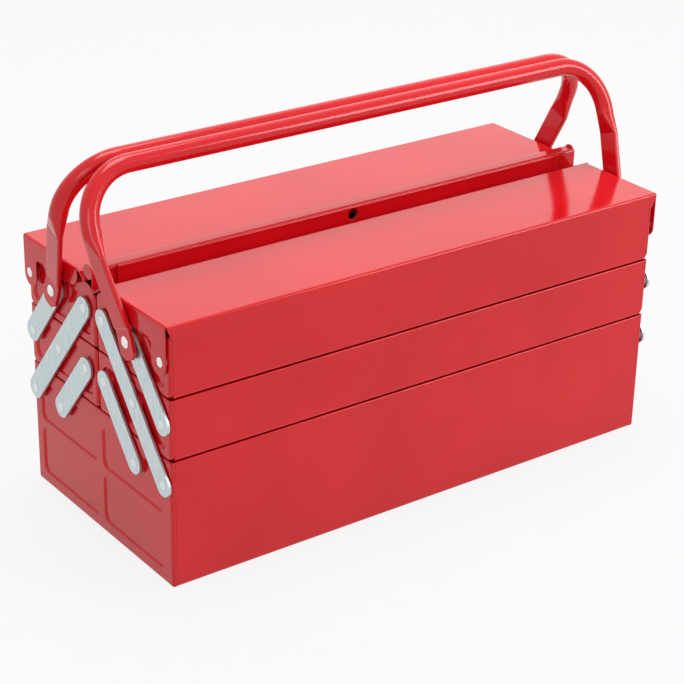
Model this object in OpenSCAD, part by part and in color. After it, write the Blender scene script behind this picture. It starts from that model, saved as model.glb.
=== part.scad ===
// Cantilever tool box: a base bin, two pairs of trays that swing out on
// strip links, two hinged lids and two bail handles.
// Millimetres. X runs along the box, -Y is the front, +Z is up.
// The origin is at the centre of the base's underside.

/* [Box] */
// Length over the end plates
box_len = 450; // [400:1:500]
// Depth from front wall to back wall
box_depth = 200; // [190:1:220]
// Height of the base bin
base_h = 102; // [95:0.5:130]
// Height from one tray's rim to the next
tier_pitch = 48.4; // [47:0.1:56]
// Gap between stacked bins
stack_gap = 0.3; // [0.2:0.1:0.6]
// Thickness of the sheet steel
sheet = 0.8; // [0.7:0.1:1]

/* [Pressed ends] */
// Outside radius where an end plate folds into its flange
end_bend_r = 2.5; // [2:0.1:3.5]
// Width of the end plate's flange, seen along the front
flange_w = 3.2; // [2.8:0.1:8]
// Depth of the pressed panels
press_depth = 1.4; // [0.5:0.1:1.4]
// Width of the raised ribs on the base's ends
rib_w = 6; // [4:0.5:9]
// Height of the level rib on the base's ends
rib_z = 53; // [48:1:58]

/* [Links] */
// Width of a link strip
link_w = 17; // [14:0.5:18]
// Thickness of a link strip
link_t = 2; // [1.5:0.1:2.2]
// Distance of the outermost pivots from the bin's wall
pivot_inset = 7.3; // [6:0.1:9]
// Distance of the innermost pivots from the box's middle
pivot_inner = 13.3; // [12:0.1:16]
// Drop from a rim to its row of pivots
pivot_drop = 19.7; // [19:0.1:22]
// Radius of a rivet's shank
rivet_r = 3; // [2.5:0.1:3.2]
// Radial clearance of a link's hole on its rivet
hole_clear = 0.05; // [0.03:0.01:0.09]
// Radial clearance at the pivots that close the linkage
loop_clear = 0.25; // [0.15:0.05:0.4]

/* [Lids] */
// Height of a lid's top above the top tray's rim
lid_rise = 8.6; // [8:0.1:11]
// Height of the lid's skirt along the front
skirt_h = 11; // [9:0.5:14]
// Height of the front lid's upright flange above its foot
lip_h = 17; // [12:0.5:18]
// Width of the ridge along the back lid
ridge_w = 12; // [9:0.5:12]
// Radius of the padlock hole
padlock_r = 4.75; // [3:0.25:4.75]

/* [Handles] */
// Diameter of the handle tube
tube_d = 14; // [12:0.5:14.5]
// Wall of the handle tube
tube_wall = 1.25; // [1:0.05:2]
// Height of the grip's centre above its pivots
grip_rise = 111.5; // [108:0.5:130]
// Centreline radius of the handle's bends
bend_r = 40; // [30:1:45]
// Width of the flattened leg
flat_w = 18.5; // [17:0.5:20]
// Thickness of the flattened leg
flat_t = 4.2; // [3.5:0.1:4.6]
// Thickness of the foot under the rivet
foot_t = 2.6; // [2:0.1:3]

/* [Hidden] */
$fn = 64;
eps = 0.01;
touch = 0.05;

half_len = box_len / 2;
half_depth = box_depth / 2;
rim0 = base_h;
tray1_z = rim0 + stack_gap;
rim1 = rim0 + tier_pitch;
tray2_z = rim1 + stack_gap;
rim2 = rim1 + tier_pitch;
lid_z = rim2 + lid_rise;
tray_in = 1.2;
inner_rim_drop = 3;

// Sheet bends
wrap_bend = 2.6;
hem_r = 0.6;
hem_h = 7;
hem_turn = 2 * hem_r;
seam_gap = 0.2;
seam_x = half_len - flange_w - seam_gap;

// The pivot grid, outer, middle and inner, and its three levels
a_out = half_depth - pivot_inset;
a_in = pivot_inner;
a_mid = (a_out + a_in) / 2;
p0 = rim0 - pivot_drop;
p1 = p0 + tier_pitch;
p2 = p1 + tier_pitch;
bay_len = norm([a_out - a_mid, tier_pitch]);
lean_in = atan2(a_out - a_mid, tier_pitch);

// Layers outward from the end plate
washer_t = 1;
washer_r = 6;
link_x0 = half_len + washer_t;
link_x1 = link_x0 + link_t;
head_t = 0.7;
flap_x1 = link_x1 + 0.2;
flap_x0 = flap_x1 - sheet;
foot_x0 = link_x1 + 1.6;
foot_x1 = foot_x0 + foot_t;

// Lid
lid_bend = 2;
lid_half = half_depth + 1.5;
lid_len = flap_x1 - lid_bend;
skirt_x = half_len - 2;
skirt_top_x = lid_len + 0.7;
valley_top_a = 18;
valley_foot_a = 3.8;
valley_foot_z = lid_z - 10.2;
lip_x = half_len - 17;
hinge_a = half_depth - 7.5;
hinge_z = rim2 - 20.2;
hinge_pin_r = 2.5;
ridge_z = valley_foot_z + lip_h;
padlock_z = lid_z;

// Handle
tube_r = tube_d / 2;
grip_a = tube_r + 0.5;
leg_run = a_mid - grip_a;
leg_len = norm([leg_run, grip_rise]);
lean = atan2(leg_run, grip_rise);
leg_x = foot_x0 + tube_r + 2;
foot_end = 13;
foot_top = 9;
crease_1 = foot_top + 3.5;
crease_2 = 60;
round_from = 76;
splay = atan2(leg_x - flat_t / 2 - foot_x0, crease_2 - crease_1);

// ---- Placing ----

// Everything is drawn for the back half, with a = distance from the middle.
module front() mirror([0, 1, 0]) children();
module left() mirror([1, 0, 0]) children();
module both_ends() {
  children();
  left() children();
}

// A profile drawn in (a, z), centred along the box
module along_x(len) rotate([90, 0, 90]) linear_extrude(len, center = true) children();
// The same, from x0 to x1
module slab_x(x0, x1) translate([x0, 0, 0]) rotate([90, 0, 90]) linear_extrude(x1 - x0) children();
// A cylinder along X from x0 to x1 at (a, z)
module rod_x(a, z, x0, x1, r) translate([x0, a, z]) rotate([0, 90, 0]) cylinder(h = x1 - x0, r = r);

// ---- Sheet metal ----

function unit(v) = v / norm(v);
function cross2(a, b) = a[0] * b[1] - a[1] * b[0];
function turn(p, i) = let (a = unit(p[i] - p[i - 1]), b = unit(p[i + 1] - p[i]))
  atan2(cross2(a, b), a * b);
function trim(p, r, i) = i == 0 || i == len(p) - 1 ? 0 : r[i - 1] * tan(abs(turn(p, i)) / 2);

// One straight run of a folded sheet
module sheet_run(p0, p1, t) {
  n = unit([p0[1] - p1[1], p1[0] - p0[0]]) * t / 2;
  polygon([p0 + n, p0 - n, p1 - n, p1 + n]);
}

// One bend of a folded sheet, of centreline radius r about c,
// between the outward directions u and v
module sheet_bend(c, r, t, u, v) {
  reach = 2 * (r + t);
  translate(c) intersection() {
    difference() {
      circle(r + t / 2);
      circle(r - t / 2);
    }
    polygon([[0, 0], u * reach, unit(u + v) * reach * 1.5, v * reach]);
  }
}

// A folded sheet's section: p is its centreline, r its bend radii, t its thickness.
// A slanting run is let into its bends by a hair, so that they join.
module sheet_path(p, r, t = sheet) {
  for (i = [0 : len(p) - 2]) {
    d = unit(p[i + 1] - p[i]);
    lap = abs(d[0] * d[1]) > eps ? 2 * eps : 0;
    q0 = p[i] + d * (trim(p, r, i) - lap);
    q1 = p[i + 1] - d * (trim(p, r, i + 1) - lap);
    if (norm(q1 - q0) > eps) sheet_run(q0, q1, t);
  }
  for (i = [1 : len(p) - 2]) {
    a = unit(p[i] - p[i - 1]);
    b = unit(p[i + 1] - p[i]);
    s = sign(turn(p, i));
    na = [-a[1], a[0]] * s;
    nb = [-b[1], b[0]] * s;
    c = p[i] - a * trim(p, r, i) + na * r[i - 1];
    sheet_bend(c, r[i - 1], t, -na, -nb);
  }
}

// The section of a bin's wrap-round sheet with a hem along both rims.
// a0 and a1 are the outer faces of its walls, z0 its underside.
module wrap_section(a0, a1, z0, rim_in, rim_out) {
  h = sheet / 2;
  sheet_path(
    [
      [a0 + h + hem_turn, rim_in - hem_h],
      [a0 + h + hem_turn, rim_in - h],
      [a0 + h, rim_in - h],
      [a0 + h, z0 + h],
      [a1 - h, z0 + h],
      [a1 - h, rim_out - h],
      [a1 - h - hem_turn, rim_out - h],
      [a1 - h - hem_turn, rim_out - hem_h]
    ],
    [hem_r, hem_r, wrap_bend, wrap_bend, hem_r, hem_r]
  );
}

// A plain channel set in by d, for the joggle and the lap under the end flange
module lap_section(a0, a1, z0, rim_in, rim_out, d, t) {
  h = d + t / 2;
  sheet_path(
    [
      [a0 + h, rim_in - hem_h - 1],
      [a0 + h, z0 + h],
      [a1 - h, z0 + h],
      [a1 - h, rim_out - hem_h - 1]
    ],
    [wrap_bend, wrap_bend], t
  );
}

// A bin's wrap sheet: floor and two walls in one piece, joggled at both ends.
// relief is the size of the notch in the lap where the end plate's corner is wider.
module bin_sheet(a0, a1, z0, rim_in, rim_out, relief = 0) {
  joggle = sheet + touch;
  color("firebrick") {
    along_x(2 * seam_x) wrap_section(a0, a1, z0, rim_in, rim_out);
    both_ends() {
      slab_x(seam_x - joggle, seam_x)
        lap_section(a0, a1, z0, rim_in, rim_out, touch, joggle + sheet - touch);
      difference() {
        slab_x(seam_x - eps, half_len - end_bend_r - touch)
          lap_section(a0, a1, z0, rim_in, rim_out, joggle, sheet);
        if (relief > 0) translate([seam_x + seam_gap / 2, a1 - relief, z0 - 1])
          cube([flange_w, relief + 1, relief + 1]);
      }
    }
  }
}

// The outline of an end plate, square at the top, with lower corners r0 and r1
module end_outline(a0, a1, z0, z1, r0, r1) {
  difference() {
    translate([a0, z0]) square([a1 - a0, z1 - z0]);
    if (r0 > 0) translate([a0 - 1, z0 - 1]) square([r0 + 1, r0 + 1]);
    if (r1 > 0) translate([a1 - r1, z0 - 1]) square([r1 + 1, r1 + 1]);
  }
  if (r0 > 0) translate([a0 + r0, z0 + r0]) circle(r0);
  if (r1 > 0) translate([a1 - r1, z0 + r1]) circle(r1);
}

// The rounded edge's lower corner: a ball where the corner is as tight as
// the bend, and a quarter of a ring where it is wider
module pan_corner(x, a, z, corner, bend, turn_by) {
  translate([x, a, z]) rotate([0, 90, 0])
    if (corner > bend) rotate([0, 0, turn_by])
      rotate_extrude(angle = 90) translate([corner - bend, 0]) circle(bend);
    else sphere(bend);
}

// A solid block with one rounded face at x1, its edges bent to radius bend
module pan_block(a0, a1, z0, z1, r0, r1, bend, x0, x1) {
  slab_x(x0, x1 - bend) end_outline(a0, a1, z0, z1, r0, r1);
  slab_x(x0, x1) end_outline(a0 + bend, a1 - bend, z0 + bend, z1, r0 - bend, r1 - bend);
  edge_x = x1 - bend;
  translate([edge_x, a0 + r0, z0 + bend]) rotate([-90, 0, 0])
    cylinder(h = a1 - a0 - r0 - r1, r = bend);
  translate([edge_x, a0 + bend, z0 + r0]) cylinder(h = z1 - z0 - r0, r = bend);
  translate([edge_x, a1 - bend, z0 + r1]) cylinder(h = z1 - z0 - r1, r = bend);
  pan_corner(edge_x, a0 + r0, z0 + r0, r0, bend, -90);
  pan_corner(edge_x, a1 - r1, z0 + r1, r1, bend, 0);
}

// A shallow pressing with sloping sides and rounded corners, sunk from x1.
// The sides slope in by as much as they go down.
module press_panel(a0, a1, z0, z1, r, x1, depth) {
  section_a = [[a0, x1 + eps], [a1, x1 + eps], [a1 - depth, x1 - depth], [a0 + depth, x1 - depth]];
  section_z = [[z0, x1 + eps], [z1, x1 + eps], [z1 - depth, x1 - depth], [z0 + depth, x1 - depth]];
  translate([0, 0, z0 + r]) linear_extrude(z1 - z0 - 2 * r)
    polygon([for (q = section_a) [q[1], q[0]]]);
  translate([0, a1 - r, 0]) rotate([90, 0, 0]) linear_extrude(a1 - a0 - 2 * r)
    polygon([for (q = section_z) [q[1], q[0]]]);
  for (a = [a0 + r, a1 - r], z = [z0 + r, z1 - r])
    translate([x1 - depth, a, z]) rotate([0, 90, 0])
      cylinder(h = depth + eps, r1 = r - depth, r2 = r);
}

// The pressings, each [a0, a1, z0, z1], with flat islands kept round the pivots
module pressings(panels, pivots, x1, island_r) {
  corner = 6;
  difference() {
    for (q = panels) press_panel(q[0], q[1], q[2], q[3], corner, x1, press_depth);
    for (p = pivots) rod_x(p[0], p[1], x1 - 2 * press_depth, x1 + 1, island_r);
  }
}

// The hem along an end plate's rim, from a0 to a1
module end_hem(a0, a1, rim) {
  h = sheet / 2;
  translate([0, a1, 0]) rotate([90, 0, 0]) linear_extrude(a1 - a0)
    sheet_path(
      [
        [half_len - h, rim - hem_h],
        [half_len - h, rim - h],
        [half_len - h - hem_turn, rim - h],
        [half_len - h - hem_turn, rim - hem_h]
      ],
      [hem_r, hem_r]
    );
}

// A bin's end plate, drawn at the right-hand end.
// open_r rounds the upper inner corner of a tray's end.
module bin_end(a0, a1, z0, rim, r0, r1, panels, pivots, open_r = 0) {
  t = sheet;
  island_r = washer_r + 1.5;
  hem_a0 = a0 + open_r + end_bend_r;
  hem_a1 = a1 - end_bend_r;
  back_x = half_len - 2 * end_bend_r - 1;
  color("firebrick") difference() {
    union() {
      difference() {
        pan_block(a0, a1, z0, rim, r0, r1, end_bend_r, back_x, half_len);
        difference() {
          pan_block(a0 + t, a1 - t, z0 + t, rim + 1, r0 - t, r1 - t, end_bend_r - t,
            back_x - 1, half_len - t);
          pressings(panels, pivots, half_len - t, island_r - t);
        }
        pressings(panels, pivots, half_len, island_r);
        translate([back_x - 1, a0 - 1, z0 - 1])
          cube([half_len - flange_w - back_x + 1, a1 - a0 + 2, rim - z0 + 2]);
        translate([half_len - flange_w - 1, hem_a0, rim - hem_turn])
          cube([flange_w + 2, hem_a1 - hem_a0, hem_turn + 1]);
      }
      end_hem(hem_a0, hem_a1, rim);
    }
    if (open_r > 0) corner_cut(a0, rim, open_r);
    for (p = pivots) rod_x(p[0], p[1], half_len - 3, half_len + 1, p[2] + touch);
  }
}

// What is cut away to round the upper inner corner of a tray's end
module corner_cut(a0, rim, r) {
  difference() {
    translate([half_len - flange_w - 2, a0 - 1, rim - r])
      cube([flange_w + 4, r + 1, r + 1]);
    rod_x(a0 + r, rim - r, half_len - flange_w - 3, half_len + 3, r);
  }
}

// ---- The bins ----

border = 10;
base_top_border = 12;
top_border = 8.5;
base_pivots = [for (s = [-1, 1], a = [a_mid, a_out]) [s * a, p0, rivet_r]];
base_panels = [
  for (s = [-1, 1], row = [0, 1])
    let (
      near = rib_w / 2,
      far = half_depth - border,
      low = row == 0 ? border : rib_z + rib_w / 2,
      high = row == 0 ? rib_z - rib_w / 2 : rim0 - base_top_border
    )
    [s > 0 ? near : -far, s > 0 ? far : -near, low, high]
];

module base_end()
  bin_end(-half_depth, half_depth, 0, rim0, end_bend_r, end_bend_r, base_panels, base_pivots);
module base_sheet() bin_sheet(-half_depth, half_depth, 0, rim0, rim0);
module base_right_end() base_end();
module base_left_end() left() base_end();

tray_border = 6.5;
tray_corner = 6;
tray_open_r = 11;
middle_pivots = [for (a = [a_in, a_mid, a_out]) [a, p1, rivet_r]];
middle_panels = [[
  tray_in + tray_border, half_depth - tray_border, tray1_z + tray_border, rim1 - top_border
]];
top_pivots = [[a_in, p2, rivet_r], [a_mid, p2, rivet_r], [hinge_a, hinge_z, hinge_pin_r]];
top_panels = [[
  tray_in + tray_border, half_depth - tray_border, tray2_z + tray_border, rim2 - top_border - 3
]];

module middle_sheet()
  bin_sheet(tray_in, half_depth, tray1_z, rim1, rim1, tray_corner);
module middle_end()
  bin_end(tray_in, half_depth, tray1_z, rim1, end_bend_r, tray_corner, middle_panels,
    middle_pivots, end_bend_r + 1);
module top_sheet()
  bin_sheet(tray_in, half_depth, tray2_z, rim2 - inner_rim_drop, rim2, tray_corner);
module top_end()
  bin_end(tray_in, half_depth, tray2_z, rim2, end_bend_r, tray_corner, top_panels,
    top_pivots, tray_open_r);

// ---- Links ----

// A strip link drawn upright from its lower pivot, then leaned over onto its line.
// holes are [distance along the link, radius].
module link(a, z, holes) {
  len = holes[len(holes) - 1][0];
  color([0.78, 0.84, 0.84]) translate([0, a, z]) rotate([lean_in, 0, 0]) difference() {
    union() {
      translate([link_x0, -link_w / 2, 0]) cube([link_t, link_w, len]);
      rod_x(0, 0, link_x0, link_x1, link_w / 2);
      rod_x(0, len, link_x0, link_x1, link_w / 2);
    }
    for (h = holes) rod_x(0, h[0], link_x0 - 1, link_x1 + 1, h[1]);
  }
}

fit_r = rivet_r + hole_clear;
loop_r = rivet_r + loop_clear;
module long_link() link(a_out, p0, [[0, fit_r], [bay_len, fit_r], [2 * bay_len, fit_r]]);
module lower_link() link(a_mid, p0, [[0, fit_r], [bay_len, loop_r]]);
module upper_link() link(a_out, p1, [[0, loop_r], [bay_len, fit_r]]);

// ---- Rivets and washers ----

// A low round head standing on x = x0 at (a, z)
module rivet_head(a, z, x0, r, t) {
  dome = (r * r + t * t) / (2 * t);
  translate([x0, a, z]) rotate([0, 90, 0]) rotate_extrude()
    intersection() {
      translate([0, t - dome]) circle(dome);
      square([r, t]);
    }
}

// A rivet from inside an end plate out to x1, with a shop head inside
module rivet(a, z, x1, r, head_r, head_h) {
  inside = half_len - sheet - press_depth;
  rod_x(a, z, inside - 0.8, x1 + touch + eps, r);
  rod_x(a, z, inside - 0.8, half_len - sheet - touch, r + 1.5);
  rivet_head(a, z, x1 + touch, head_r, head_h);
}

link_head_r = 4.2;
module link_rivets(pivots)
  color([0.8, 0.84, 0.84]) both_ends()
    for (p = pivots) rivet(p[0], p[1], link_x1, rivet_r, link_head_r, head_t);
module lid_rivets()
  color([0.88, 0.88, 0.86]) both_ends()
    rivet(hinge_a, hinge_z, flap_x1, hinge_pin_r, 3.9, 1);
module handle_rivets()
  color([0.88, 0.88, 0.86]) both_ends()
    rivet(a_mid, p2, foot_x1, rivet_r, 4.6, 1.7);

// A washer from x0 to x1 on a rivet of radius r
module washer(a, z, x0, x1, r, outer_r)
  difference() {
    rod_x(a, z, x0, x1, outer_r);
    rod_x(a, z, x0 - 1, x1 + 1, r + touch);
  }
module link_washers(pivots)
  color([0.7, 0.72, 0.73]) both_ends()
    for (p = pivots) washer(p[0], p[1], half_len, link_x0 - touch, rivet_r, washer_r);
module top_washers() {
  link_washers([[a_in, p2], [a_mid, p2]]);
  color([0.7, 0.72, 0.73]) both_ends() {
    washer(a_mid, p2, link_x1 + touch, foot_x0 - touch, rivet_r, washer_r);
    washer(hinge_a, hinge_z, half_len, flap_x0 - touch, hinge_pin_r, 4.5);
  }
}

// ---- Lids ----

// Both lids share a skirt and a flat top, ending at the head of the valley.
// rest is the centreline from there inward, with its own radii.
valley_bend = 4;
skirt_points = [
  [lid_half - sheet / 2, lid_z - skirt_h],
  [lid_half - sheet / 2, lid_z - sheet / 2]
];
valley_head = [valley_top_a, lid_z - sheet / 2];

// The end flap: a strip below the lid's edge with a rounded tongue at the hinge
leg_a = half_depth - 9;
leg_z = hinge_z - 1.5;
leg_r = 9;
flap_low = rim2 - 6.5;
flap_in = valley_top_a + 1.6;
flap_in_r = 10;
flap_fillet = 4;
module flap_outline() {
  top = lid_z - lid_bend;
  leg_in = leg_a - leg_r;
  leg_out = leg_a + leg_r;
  translate([flap_in + flap_in_r, flap_low])
    square([leg_out - flap_in - flap_in_r, top - flap_low]);
  translate([flap_in, flap_low + flap_in_r]) square([flap_in_r, top - flap_low - flap_in_r]);
  intersection() {
    translate([flap_in + flap_in_r, flap_low + flap_in_r]) circle(flap_in_r);
    translate([flap_in, flap_low]) square([flap_in_r, flap_in_r]);
  }
  translate([leg_in, leg_z]) square([2 * leg_r, flap_low - leg_z + eps]);
  translate([leg_a, leg_z]) circle(leg_r);
  difference() {
    translate([leg_in - flap_fillet, flap_low - flap_fillet]) square([flap_fillet + eps, flap_fillet + eps]);
    translate([leg_in - flap_fillet, flap_low - flap_fillet]) circle(flap_fillet);
  }
}

// The rounded edge that joins the lid's top to its end flap, and the flap itself
module lid_end() {
  flap_run = leg_a + leg_r - flap_in;
  slab_x(flap_x0, flap_x1) flap_outline();
  translate([lid_len, flap_in, lid_z - lid_bend])
    rotate([-90, 0, 0]) rotate([0, 0, -90])
      linear_extrude(flap_run) difference() {
        intersection() {
          circle(lid_bend);
          square(lid_bend + 1);
        }
        circle(lid_bend - sheet);
      }
}

module lid_blank(rest, rest_r) {
  skirt_bend = lid_bend - sheet / 2;
  difference() {
    along_x(2 * flap_x1)
      sheet_path(concat(skirt_points, [valley_head], rest),
        concat([skirt_bend, valley_bend], rest_r));
    both_ends() {
      translate([lid_len, flap_in, lid_z - skirt_h - 1])
        cube([lid_bend + 1, leg_a + leg_r - flap_in, skirt_h + 5]);
      translate([0, lid_half + 1, 0]) rotate([90, 0, 0])
        linear_extrude(lid_half + 1 - leg_a - leg_r)
          polygon([
            [skirt_x, lid_z - skirt_h - 1], [skirt_x, lid_z - skirt_h],
            [skirt_top_x, lid_z - lid_bend], [skirt_top_x, lid_z + 1],
            [flap_x1 + 1, lid_z + 1], [flap_x1 + 1, lid_z - skirt_h - 1]
          ]);
    }
  }
  both_ends() lid_end();
}

hinge_fit = hinge_pin_r + hole_clear;
module hinge_holes()
  both_ends() rod_x(hinge_a, hinge_z, flap_x0 - 1, flap_x1 + 1, hinge_fit);

// The front lid: a valley, then an upright lip folded double along its top
module front_lid() {
  h = sheet / 2;
  lip_a = valley_foot_a;
  lip_top = valley_foot_z + lip_h;
  color([0.86, 0.12, 0.12]) front() difference() {
    union() {
      lid_blank([[lip_a, valley_foot_z], [lip_a, valley_foot_z + 3]], [0.8]);
      along_x(2 * lip_x)
        sheet_path(
          [
            [lip_a, valley_foot_z + 2.9],
            [lip_a, lip_top - h],
            [lip_a + hem_turn, lip_top - h],
            [lip_a + hem_turn, lip_top - 1.8]
          ],
          [hem_r, hem_r]
        );
    }
    hinge_holes();
    padlock_hole(lip_a - sheet, lip_a + hem_turn + sheet);
  }
}

// The back lid: the same valley, then a hollow ridge that covers the front lid's lip
ridge_a0 = 2.5;
ridge_leg_h = 16;
ridge_leg_z = ridge_z - ridge_leg_h;
tongue_h = 9;
tongue_z = ridge_z - tongue_h;
module back_lid() {
  h = sheet / 2;
  foot_a = ridge_w - ridge_a0 - h;
  slope = (lid_z - valley_foot_z) / (valley_top_a - valley_foot_a);
  foot_z = lid_z - h - slope * (valley_top_a - foot_a);
  color([0.86, 0.12, 0.12]) difference() {
    union() {
      lid_blank(
        [
          [foot_a, foot_z],
          [foot_a, ridge_z - h],
          [h - ridge_a0, ridge_z - h],
          [h - ridge_a0, ridge_leg_z]
        ],
        [1, 2, 2]
      );
      both_ends() ridge_tongue();
    }
    hinge_holes();
    padlock_hole(-ridge_a0 - sheet, ridge_w - ridge_a0 + sheet);
  }
}

// The rounded tongue that closes the ridge at each end
module ridge_tongue() {
  side_gap = 0.3;
  shoulder_w = 2;
  shoulder_drop = 2.5;
  r = ridge_w / 2 - side_gap;
  mid = ridge_w / 2 - ridge_a0;
  from = tongue_z + r;
  slab_x(flap_x0, flap_x1 - touch) {
    translate([mid, from]) circle(r);
    translate([mid - r, from]) square([2 * r, ridge_z - shoulder_drop - from]);
    translate([mid - r + shoulder_w, from])
      square([2 * (r - shoulder_w), ridge_z - sheet / 2 - from]);
  }
}

// The padlock hole between two distances from the middle, short of the valleys
module padlock_hole(a0, a1)
  translate([0, a0, padlock_z]) rotate([-90, 0, 0]) cylinder(h = a1 - a0, r = padlock_r);

// ---- Handles ----

flat_edge_r = 1.3;

// The flattened length of the leg with rounded edges, splayed outward to the tube's line
module leg_flat() {
  edge = flat_edge_r;
  root = 1;
  run = norm([leg_x - flat_t / 2 - foot_x0, crease_2 - crease_1]);
  translate([foot_x0, 0, crease_1]) rotate([0, splay, 0]) translate([0, 0, -root])
    linear_extrude(run + 1.4 * root) {
      translate([0, -flat_w / 2 + edge]) square([flat_t, flat_w - 2 * edge]);
      translate([edge, -flat_w / 2]) square([flat_t - 2 * edge, flat_w]);
      for (x = [edge, flat_t - edge], y = [-1, 1])
        translate([x, y * (flat_w / 2 - edge)]) circle(edge);
    }
}

// The foot: a plate with two slanted corners, drawn in the leg's own plane
module handle_foot() {
  half = flat_w / 2;
  cut = 5;
  slab_x(foot_x0, foot_x0 + foot_t)
    polygon([
      [-half, foot_top + 1], [-half, cut - foot_end], [cut - half, -foot_end],
      [half - cut, -foot_end], [half, cut - foot_end], [half, foot_top + 1]
    ]);
}

// The step from the foot up to the thicker leg
module foot_step()
  translate([0, flat_w / 2, 0]) rotate([90, 0, 0]) linear_extrude(flat_w)
    polygon([
      [foot_x0, foot_top], [foot_x0 + foot_t, foot_top],
      [foot_x0 + flat_t, crease_1], [foot_x0, crease_1]
    ]);

// The leg's change from flat to round, let into both by a hair
module leg_taper() {
  skin = 0.1;
  edge = flat_edge_r;
  lap = 0.15;
  hull() {
    for (x = [-1, 1], y = [-1, 1])
      translate([leg_x + x * (flat_t / 2 - edge), y * (flat_w / 2 - edge), crease_2 - lap])
        cylinder(h = lap, r = edge - skin, $fn = 16);
    translate([leg_x, 0, round_from]) cylinder(h = lap, r = tube_r - skin, $fn = 40);
  }
}

// The section of the handle's tube
module tube_ring() difference() {
  circle(tube_r);
  circle(tube_r - tube_wall);
}

// The round part of one leg, with its bend
module leg_tube() {
  bend_z = leg_len - bend_r;
  translate([leg_x, 0, round_from]) linear_extrude(bend_z - round_from) tube_ring();
  translate([leg_x - bend_r, 0, bend_z]) rotate([90, 0, 0])
    rotate_extrude(angle = 90) translate([bend_r, 0]) tube_ring();
}

// The grip between the two bends
module grip_tube() {
  bend_x = leg_x - bend_r;
  translate([bend_x, 0, leg_len]) rotate([0, -90, 0]) linear_extrude(2 * bend_x) tube_ring();
}

// The flattened part of one leg, with its foot
module leg_end() {
  difference() {
    union() {
      handle_foot();
      foot_step();
      leg_flat();
    }
    rod_x(0, 0, foot_x0 - 1, foot_x1 + 1, fit_r);
  }
  leg_taper();
}

// A bail handle of bent tube, leaning in from its pivots to the grip over the middle
module handle()
  color([0.84, 0.12, 0.12]) translate([0, a_mid, p2]) rotate([lean, 0, 0]) {
    both_ends() {
      leg_tube();
      leg_end();
    }
    grip_tube();
  }

// ---- Nodes ----

base_sheet();
base_left_end();
base_right_end();
link_rivets(base_pivots);  // base_rivets
link_washers(base_pivots);  // base_washers
front() middle_sheet();  // front_middle_sheet
front() left() middle_end();  // front_middle_left_end
front() middle_end();  // front_middle_right_end
front() link_rivets(middle_pivots);  // front_middle_rivets
front() link_washers(middle_pivots);  // front_middle_washers
middle_sheet();  // back_middle_sheet
left() middle_end();  // back_middle_left_end
middle_end();  // back_middle_right_end
link_rivets(middle_pivots);  // back_middle_rivets
link_washers(middle_pivots);  // back_middle_washers
front() top_sheet();  // front_top_sheet
front() left() top_end();  // front_top_left_end
front() top_end();  // front_top_right_end
front() link_rivets([[a_in, p2]]);  // front_top_rivets
front() top_washers();  // front_top_washers
top_sheet();  // back_top_sheet
left() top_end();  // back_top_left_end
top_end();  // back_top_right_end
link_rivets([[a_in, p2]]);  // back_top_rivets
top_washers();  // back_top_washers
front() left() long_link();  // front_long_link_left
front() long_link();  // front_long_link_right
left() long_link();  // back_long_link_left
long_link();  // back_long_link_right
front() left() lower_link();  // front_lower_link_left
front() lower_link();  // front_lower_link_right
left() lower_link();  // back_lower_link_left
lower_link();  // back_lower_link_right
front() left() upper_link();  // front_upper_link_left
front() upper_link();  // front_upper_link_right
left() upper_link();  // back_upper_link_left
upper_link();  // back_upper_link_right
front_lid();
back_lid();
front() lid_rivets();  // front_lid_rivets
lid_rivets();  // back_lid_rivets
front() handle();  // front_handle
handle();  // back_handle
front() handle_rivets();  // front_handle_rivets
handle_rivets();  // back_handle_rivets
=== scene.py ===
"""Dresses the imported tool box: paint, galvanised links, rivets, floor, light and camera."""

from math import atan2, cos, radians, sin

import bpy
from mathutils import Matrix, Vector

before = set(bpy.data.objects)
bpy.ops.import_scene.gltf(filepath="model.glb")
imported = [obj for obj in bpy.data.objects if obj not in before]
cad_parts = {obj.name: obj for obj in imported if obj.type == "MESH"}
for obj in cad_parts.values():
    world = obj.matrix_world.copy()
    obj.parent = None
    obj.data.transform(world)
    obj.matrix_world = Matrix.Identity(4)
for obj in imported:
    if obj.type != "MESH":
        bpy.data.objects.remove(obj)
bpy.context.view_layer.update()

# ---- The links' slope in the CAD model ----

# Depth and height from one pivot of a link to the next, in metres
PIVOT_STEP = 0.0397
TIER_PITCH = 0.0484
LINK_LEAN = atan2(PIVOT_STEP, TIER_PITCH)

# ---- Camera, solved from the photograph's perspective ----

CAM_AZIMUTH = radians(-36.586)
CAM_ELEVATION = radians(25.399)
CAM_ROLL = radians(1.195)
CAM_DISTANCE = 1.644
CAM_LENS = 106.56  # mm
CAM_SENSOR = 36  # mm
# How far the aim is off the frame's origin, across the view, in metres
CAM_AIM_RIGHT = -0.00234
CAM_AIM_UP = 0.08765


def add_camera():
    """A camera with the photograph's direction, roll and lens."""
    back = Vector((
        sin(CAM_AZIMUTH) * cos(CAM_ELEVATION),
        -cos(CAM_AZIMUTH) * cos(CAM_ELEVATION),
        sin(CAM_ELEVATION),
    ))
    level = (-back).cross(Vector((0, 0, 1))).normalized()
    upright = level.cross(-back)
    right = level * cos(CAM_ROLL) + upright * sin(CAM_ROLL)
    up = upright * cos(CAM_ROLL) - level * sin(CAM_ROLL)
    data = bpy.data.cameras.new("camera")
    data.lens = CAM_LENS
    data.sensor_width = CAM_SENSOR
    camera = bpy.data.objects.new("camera", data)
    place = back * CAM_DISTANCE + right * CAM_AIM_RIGHT + up * CAM_AIM_UP
    turn = Matrix((right, up, back)).transposed().to_4x4()
    camera.matrix_world = Matrix.Translation(place) @ turn
    bpy.context.scene.collection.objects.link(camera)
    bpy.context.scene.camera = camera


# ---- Materials ----

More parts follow.
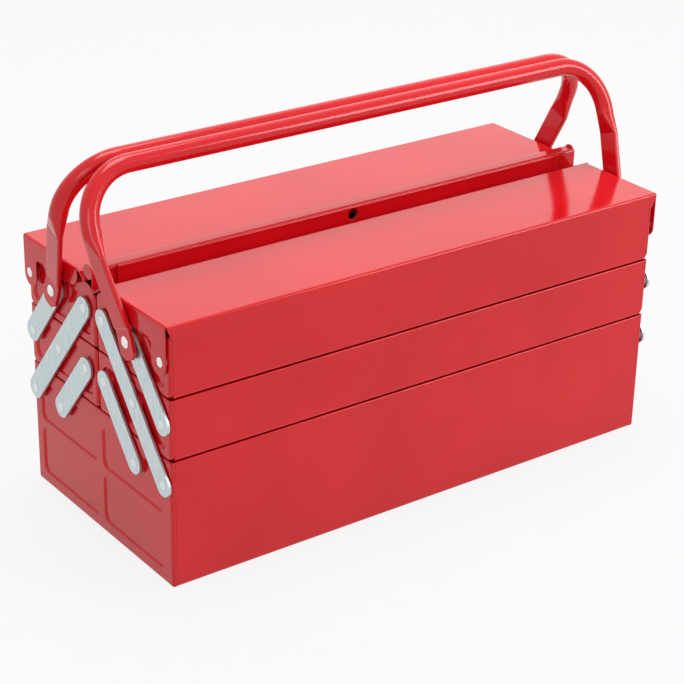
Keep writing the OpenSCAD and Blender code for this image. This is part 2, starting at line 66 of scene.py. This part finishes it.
# Each pair of tones is the darker and the lighter end of its drift
PAINT_TONES = (0.60, 0.004, 0.009), (0.68, 0.007, 0.013)
PAINT_GLOSS = 0.09, 0.14
PAINT_SPECULAR = 0.38
PAINT_EDGE = 0.0006
ZINC_TONES = (0.48, 0.56, 0.58), (0.66, 0.73, 0.74)
ZINC_GLOSS = 0.36, 0.5
ZINC_EDGE = 0.0005
RIVET_EDGE = 0.0004
RIVET_GLOSS_SPREAD = 0.06
RIVET_DARK_SHARE = 0.85
BUMP_DEPTH = 0.0002
STREAK_STRETCH = 14


class Shader:
    """A node-based material with a Principled shader, built one node at a time."""

    def __init__(self, name):
        self.material = bpy.data.materials.new(name)
        self.material.use_nodes = True
        self.tree = self.material.node_tree
        self.surface = self.tree.nodes["Principled BSDF"]

    def node(self, kind, **settings):
        made = self.tree.nodes.new("ShaderNode" + kind)
        for key, value in settings.items():
            if hasattr(made, key) and not key[0].isupper():
                setattr(made, key, value)
            else:
                made.inputs[key.replace("_", " ")].default_value = value
        return made

    def link(self, a, out, b, into):
        self.tree.links.new(a.outputs[out], b.inputs[into])

    def place(self, scale=(1, 1, 1), rotation=(0, 0, 0)):
        """Object coordinates, scaled and turned."""
        coords = self.node("TexCoord")
        mapping = self.node("Mapping")
        mapping.inputs["Scale"].default_value = scale
        mapping.inputs["Rotation"].default_value = rotation
        self.link(coords, "Object", mapping, "Vector")
        return mapping

    def noise(self, scale, detail, where, roughness=0.5):
        made = self.node("TexNoise", Scale=scale, Detail=detail, Roughness=roughness)
        self.link(where, "Vector", made, "Vector")
        return made

    def ramp(self, source, out, stops):
        """Colours by position along 0 to 1."""
        made = self.node("ValToRGB")
        elements = made.color_ramp.elements
        while len(elements) < len(stops):
            elements.new(0.5)
        for element, (position, colour) in zip(elements, stops):
            element.position = position
            element.color = (*colour, 1)
        self.link(source, out, made, "Fac")
        return made

    def spread(self, source, out, low, high):
        """A value from 0 to 1 spread between low and high."""
        made = self.node("MapRange", To_Min=low, To_Max=high)
        self.link(source, out, made, "Value")
        return made

    def bump(self, source, out, strength, distance, under=None):
        """A normal from a height, on top of the normal under it."""
        made = self.node("Bump", Strength=strength, Distance=distance)
        self.link(source, out, made, "Height")
        if under:
            self.link(under, "Normal", made, "Normal")
        return made

    def soft_edges(self, radius):
        """A normal that rounds the folds and cut edges by a radius."""
        return self.node("Bevel", samples=6, Radius=radius)


def powder_coat():
    """Glossy red powder coat with a fine orange peel and a faint drift in tone."""
    m = Shader("red_powder_coat")
    where = m.place()
    drift = m.noise(9, 3, where)
    dark, light = PAINT_TONES
    tone = m.ramp(drift, "Fac", [(0.3, dark), (0.7, light)])
    m.link(tone, "Color", m.surface, "Base Color")
    peel = m.noise(900, 2, where)
    gloss = m.spread(drift, "Fac", *PAINT_GLOSS)
    m.link(gloss, "Result", m.surface, "Roughness")
    edges = m.soft_edges(PAINT_EDGE)
    skin = m.bump(peel, "Fac", 0.08, BUMP_DEPTH, edges)
    m.link(skin, "Normal", m.surface, "Normal")
    m.surface.inputs["Specular IOR Level"].default_value = PAINT_SPECULAR
    return m.material


def galvanised(name, lean):
    """Bright zinc with streaks along the strip, which leans by the given angle from upright."""
    m = Shader(name)
    along = m.place(scale=(1, STREAK_STRETCH, 1), rotation=(lean, 0, 0))
    streaks = m.noise(70, 4, along, 0.6)
    even = m.place()
    spangle = m.node("TexVoronoi", Scale=260)
    m.link(even, "Vector", spangle, "Vector")
    dark, light = ZINC_TONES
    tone = m.ramp(streaks, "Fac", [(0.3, dark), (0.7, light)])
    m.link(tone, "Color", m.surface, "Base Color")
    gloss = m.spread(spangle, "Distance", *ZINC_GLOSS)
    m.link(gloss, "Result", m.surface, "Roughness")
    edges = m.soft_edges(ZINC_EDGE)
    skin = m.bump(streaks, "Fac", 0.15, BUMP_DEPTH, edges)
    m.link(skin, "Normal", m.surface, "Normal")
    m.surface.inputs["Metallic"].default_value = 1
    return m.material


def rivet_metal(name, colour, rough):
    """Plated steel, a little uneven from the rivet set."""
    m = Shader(name)
    where = m.place()
    patches = m.noise(700, 3, where)
    dark = tuple(RIVET_DARK_SHARE * c for c in colour)
    tone = m.ramp(patches, "Fac", [(0.35, dark), (0.65, colour)])
    m.link(tone, "Color", m.surface, "Base Color")
    gloss = m.spread(patches, "Fac", rough - RIVET_GLOSS_SPREAD, rough + RIVET_GLOSS_SPREAD)
    m.link(gloss, "Result", m.surface, "Roughness")
    edges = m.soft_edges(RIVET_EDGE)
    m.link(edges, "Normal", m.surface, "Normal")
    m.surface.inputs["Metallic"].default_value = 1
    return m.material


def dress(names, material):
    """Gives each named CAD node the material in place of its plain one."""
    for name in names:
        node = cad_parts[name]
        node.data.materials.clear()
        node.data.materials.append(material)


def dress_all():
    """Paint on sheet and handles, zinc on links, plated steel on rivets and washers."""
    names = list(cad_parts)
    links = [n for n in names if "_link_" in n]
    rivets = [n for n in names if n.endswith("_rivets")]
    washers = [n for n in names if n.endswith("_washers")]
    bright = [n for n in rivets if "lid" in n or "handle" in n]
    plain = [n for n in rivets if n not in bright]
    red = [n for n in names if n not in links + rivets + washers]
    dress(red, powder_coat())
    for side, lean in (("front", -LINK_LEAN), ("back", LINK_LEAN)):
        strips = [n for n in links if n.startswith(side)]
        dress(strips, galvanised(side + "_galvanised_strip", lean))
    dress(plain, rivet_metal("zinc_rivet", (0.74, 0.8, 0.81), 0.38))
    dress(bright, rivet_metal("bright_rivet", (0.88, 0.87, 0.84), 0.25))
    dress(washers, rivet_metal("zinc_washer", (0.6, 0.62, 0.63), 0.4))


# ---- Floor, light and background ----

WHITE = 1, 1, 1, 1
WORLD_STRENGTH = 0.55
FLOOR_SIZE = 8
FLOOR_TONES = (0.66, 0.66, 0.66), (0.68, 0.68, 0.68)
FLOOR_ROUGHNESS = 0.9
# How much of the floor is plain white to the eye; the rest keeps the object's shadow
FLOOR_WHITE = 0.85
SOFTBOXES = [
    # name, place, aimed at, side in metres, power in watts
    ("overhead", (0.1, 0.2, 1.8), (0, 0, 0.1), 1.0, 16),
    ("behind", (1.3, 1.9, 1.4), (0, 0, 0.2), 2.6, 9),
    ("front_left", (-1.6, -1.6, 1.2), (0, 0, 0.1), 1.0, 7),
    ("front_right", (1.6, -1.7, 1.1), (0.05, 0, 0.1), 1.0, 20),
]


def white_to_eye(tree, plain, white, share):
    """Mixes in a share of a white shader for camera, glossy and transmission rays."""
    path = tree.nodes.new("ShaderNodeLightPath")
    seen = path.outputs["Is Camera Ray"]
    for ray in ("Is Glossy Ray", "Is Transmission Ray"):
        add = tree.nodes.new("ShaderNodeMath")
        add.operation = "MAXIMUM"
        tree.links.new(seen, add.inputs[0])
        tree.links.new(path.outputs[ray], add.inputs[1])
        seen = add.outputs[0]
    part = tree.nodes.new("ShaderNodeMath")
    part.operation = "MULTIPLY"
    part.inputs[1].default_value = share
    tree.links.new(seen, part.inputs[0])
    mix = tree.nodes.new("ShaderNodeMixShader")
    tree.links.new(part.outputs[0], mix.inputs[0])
    tree.links.new(plain, mix.inputs[1])
    tree.links.new(white, mix.inputs[2])
    return mix.outputs[0]


def add_world():
    """An even pale light all round, seen as plain white."""
    world = bpy.data.worlds.new("world")
    bpy.context.scene.world = world
    world.use_nodes = True
    tree = world.node_tree
    light = tree.nodes["Background"]
    light.inputs["Color"].default_value = WHITE
    light.inputs["Strength"].default_value = WORLD_STRENGTH
    white = tree.nodes.new("ShaderNodeBackground")
    white.inputs["Color"].default_value = WHITE
    white.inputs["Strength"].default_value = 1
    mixed = white_to_eye(tree, light.outputs[0], white.outputs[0], 1)
    tree.links.new(mixed, tree.nodes["World Output"].inputs["Surface"])


def add_floor():
    """A pale floor that keeps the object's shadow."""
    bpy.ops.mesh.primitive_plane_add(size=FLOOR_SIZE)
    floor = bpy.context.object
    floor.name = "floor"
    m = Shader("floor")
    grain = m.noise(40, 2, m.place())
    dark, light = FLOOR_TONES
    tone = m.ramp(grain, "Fac", [(0.4, dark), (0.6, light)])
    m.link(tone, "Color", m.surface, "Base Color")
    m.surface.inputs["Roughness"].default_value = FLOOR_ROUGHNESS
    white = m.node("Emission", Strength=1)
    white.inputs["Color"].default_value = WHITE
    mixed = white_to_eye(m.tree, m.surface.outputs[0], white.outputs[0], FLOOR_WHITE)
    m.tree.links.new(mixed, m.tree.nodes["Material Output"].inputs["Surface"])
    floor.data.materials.append(m.material)


def add_softboxes():
    """Square lamps, each turned to face its aim."""
    for name, place, aim, size, power in SOFTBOXES:
        data = bpy.data.lights.new(name, "AREA")
        data.shape = "SQUARE"
        data.size = size
        data.energy = power
        lamp = bpy.data.objects.new(name, data)
        lamp.location = place
        throw = Vector(aim) - Vector(place)
        lamp.rotation_euler = throw.to_track_quat("-Z", "Y").to_euler()
        bpy.context.scene.collection.objects.link(lamp)


dress_all()
add_floor()
add_world()
add_softboxes()
add_camera()
bpy.context.scene.view_settings.view_transform = "Standard"
